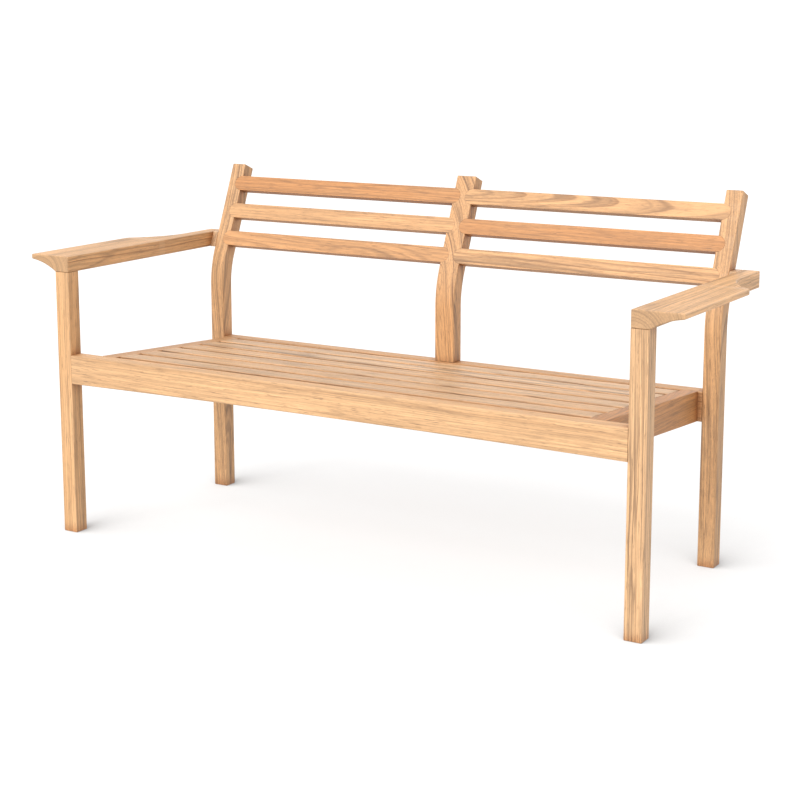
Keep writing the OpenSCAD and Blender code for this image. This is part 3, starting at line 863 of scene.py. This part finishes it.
def rounded_edge(y):
    """The outer edge with its rear corner rounded."""
    if abs(y - corner_at) > 2 * WING_CORNER:
        return outer_edge(y)
    return float(np.average([outer_edge(y + s) for s in samples], weights=weights))


def arm_outline(y, depth):
    """The armrest cut across at a distance y behind its front end, drawn in by a small depth."""
    out, ease = rounded_edge(y), ARM_EASE
    under = [(bar_out - ease - 0.0001 * (21 - k), arm_low.z) for k in range(21)]
    if out - ease > bar_out + 0.0001:
        under = [(x, underside(x)) for x in np.linspace(bar_out, out - ease, 22)[:-1]]
    points = []
    corners = [(bar_in, arm_low.z, 180, 1, 1), (out, underside(out), 270, -1, 1),
               (out, arm_high.z, 0, -1, -1), (bar_in, arm_high.z, 90, 1, -1)]
    for number, (cx, cz, start_turn, sx, sz) in enumerate(corners):
        if number == 1:
            points += under
        for s in range(4):
            a = math.radians(start_turn + 30 * s)
            points.append((cx + sx * ease + ease * math.cos(a), cz + sz * ease + ease * math.sin(a)))
    return drawn_in(np.array(points), depth)


for side, sign, wood in (
    ("left", -1, board((-0.030, 0.030), (0.01, 0.01), 1.3, 0.95, 0.45, 0.9)),
    ("right", 1, board((0.050, -0.032), (0.012, 0.010), 6.2, 0.75, 0.25, 0.75)),
):
    rings = []
    for y, depth in eased_ends(stations, ARM_EASE):
        rings.append([(sign * x, arm_low.y + y, z) for x, z in arm_outline(y, depth)])
    arm = lofted("armrest_board_" + side, rings, teak_pale)
    lay_grain(arm, [wood], along=(0, 1, 0), side=(sign, 0, 0))
    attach(arm, "root")
    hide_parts("armrest_" + side)

# ---------------------------------------------------------------- spacers and dowels
# A small pale block fills the gap between each armrest and the rear leg, cut to the lean of
# the leg. Two teak dowels run through it from the armrest into the leg.

SPACER_EASE = 0.0012
# Clearance at each side of a spacer
SPACER_GAP = 0.0001
DOWEL_WIDTH = 0.008
DOWEL_PITCH = 0.018
# Wood left between the end of a dowel and the end of a back slat
DOWEL_WALL = 0.004


def post_face(z, radius):
    """How far back a face of a rear leg has bent at the height z."""
    past = z - BEND_START
    turn = math.asin(min(past / radius, math.sin(lean)))
    return radius * (1 - math.cos(turn)) + max(past - radius * math.sin(lean), 0) * math.tan(lean)


for side, sign in (("left", -1), ("right", 1)):
    low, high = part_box("arm_spacer_" + side)
    rings = []
    for z, depth in eased_ends([low.z, high.z], SPACER_EASE, 2):
        front = post_low.y + post_face(z, BEND_RADIUS)
        rear = post_low.y + post_depth + post_face(z, BEND_RADIUS - post_depth)
        corners = (low.x + SPACER_GAP, front), (high.x - SPACER_GAP, rear)
        rings.append([(x, y, z) for x, y in drawn_in(eased_outline(*corners, SPACER_EASE, 2), depth)])
    spacer = lofted("spacer_" + side, rings, teak_pale)
    wood = board((0.05, 0.03), (0, 0), 2.0 + sign, 0.15, 0.1, 0.6)
    lay_grain(spacer, [wood], along=(0, 1, 0.4), side=(1, 0, 0))
    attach(spacer, "root")
    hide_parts("arm_spacer_" + side)

low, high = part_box("arm_dowels")
inner = post_low.x + BACK_HEIGHT / 2 + DOWEL_WALL
middle = Vector((0, (low.y + high.y) / 2, (low.z + high.z) / 2))
step = Vector((0, math.sin(lean), math.cos(lean))) * DOWEL_PITCH / 2
length = high.x - inner
points = []
for sign in (-1, 1):
    for at in (middle - step, middle + step):
        points.append((-at.z, at.y, sign * (inner + length / 2)))
# In the tree a dowel stands up; in the armrest its axis runs along x
along_x = Matrix(((0, 0, 1, 0), (0, 1, 0, 0), (-1, 0, 0, 0), (0, 0, 0, 1)))
sizes = {"Width": DOWEL_WIDTH, "Depth": length, "Sides": 24}
dowels = grown("arm_dowel_set", peg_tree, sizes, teak_honey, along_x, points)
lay_grain(dowels, [board((0.03, 0.02), (0, 0), 0.7 * n, 0.4, 0.2, 0.6) for n in range(4)])
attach(dowels, "root")
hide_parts("arm_dowels")

# ---------------------------------------------------------------- studio
# A plain pale floor, soft daylight from all round and one broad soft key from the front. The
# camera stands in front and to the right of the bench, a little above its armrests.

floor_mesh = bpy.data.meshes.new("floor")
floor_mesh.from_pydata([(-150, -150, 0), (150, -150, 0), (150, 150, 0), (-150, 150, 0)], [], [(0, 1, 2, 3)])
floor = bpy.data.objects.new("floor", floor_mesh)
bpy.context.scene.collection.objects.link(floor)
paper = bpy.data.materials.new("floor_paper")
paper.use_nodes = True
paper.node_tree.nodes.clear()
p = paper.node_tree
# Painted shadow: an occlusion test tilted towards the key darkens the paper's colour and glow softly just
# behind whatever stands on it
towards_key = point_of(p, -0.10, -0.88, 0.46)
occlusion_for_shadow = add(p, "ShaderNodeAmbientOcclusion", {"Distance": 0.30, "Normal": towards_key}, samples=16)
painted_shadow = add(p, "ShaderNodeMapRange", {0: occlusion_for_shadow.outputs["AO"], 1: 0.45, 2: 0.97, 3: 0.40, 4: 1.0}).outputs[0]
shadowed_paper = point_of(p, painted_shadow, painted_shadow, painted_shadow)
shades = {0: 1.0, 6: shadowed_paper, 7: (0.42, 0.42, 0.42, 1)}
bare = add(p, "ShaderNodeMix", shades, data_type="RGBA", blend_type="MULTIPLY").outputs[2]
sheet = add(p, "ShaderNodeBsdfPrincipled", {"Base Color": bare, "Roughness": 0.9, "Specular IOR Level": 0.1,
                                            "Emission Color": shadowed_paper, "Emission Strength": 0.55})
add(p, "ShaderNodeOutputMaterial", {"Surface": sheet.outputs[0]})
# The floor lights nothing: the pale underside of the sky does that
floor.visible_diffuse = False
floor.visible_glossy = False
floor_mesh.materials.append(paper)

world = bpy.data.worlds.new("studio")
world.use_nodes = True
sky = world.node_tree
ray = add(sky, "ShaderNodeTexCoord").outputs["Generated"]
direction = add(sky, "ShaderNodeSeparateXYZ", {0: ray}).outputs
# White walls in front and behind, duller ones at the sides, and a duller half below
walls = sum_of(sky, "MULTIPLY", direction[1], direction[1])
walls = sum_of(sky, "ADD", sum_of(sky, "MULTIPLY", walls, 0.55), 0.93)
below = add(sky, "ShaderNodeMapRange", {0: direction[2], 1: -0.30, 2: -0.02, 3: 0.74, 4: 1.0}).outputs[0]
sky.links.new(sum_of(sky, "MULTIPLY", walls, below), sky.nodes["Background"].inputs["Strength"])
sky.nodes["Background"].inputs["Color"].default_value = (1, 1, 1, 1)
bpy.context.scene.world = world

key_data = bpy.data.lights.new("key", "SUN")
key_data.energy = 1.95
key_data.angle = math.radians(40)
key = bpy.data.objects.new("key", key_data)
key.rotation_mode = "QUATERNION"
key.rotation_quaternion = Vector((-0.06, -0.82, 0.57)).to_track_quat("Z", "Y")
bpy.context.scene.collection.objects.link(key)

yaw, dip, roll = 0.5562, -0.18505, -0.00329
ahead = Vector((-math.sin(yaw) * math.cos(dip), math.cos(yaw) * math.cos(dip), math.sin(dip)))
right = Vector((math.cos(yaw), math.sin(yaw), 0))
above = right.cross(ahead)
turned = math.cos(roll) * right + math.sin(roll) * above
upright = -math.sin(roll) * right + math.cos(roll) * above
camera_data = bpy.data.cameras.new("camera")
camera = bpy.data.objects.new("camera", camera_data)
camera.matrix_world = Matrix((
    (turned.x, upright.x, -ahead.x, 2.0978),
    (turned.y, upright.y, -ahead.y, -3.4966),
    (turned.z, upright.z, -ahead.z, 1.2561),
    (0, 0, 0, 1),
))
camera_data.lens = 79.885
camera_data.shift_x = 0.03125
camera_data.shift_y = -0.075
camera_data.clip_end = 400
bpy.context.scene.collection.objects.link(camera)
bpy.context.scene.camera = camera
bpy.context.scene.view_settings.view_transform = "Standard"

bpy.context.view_layer.update()
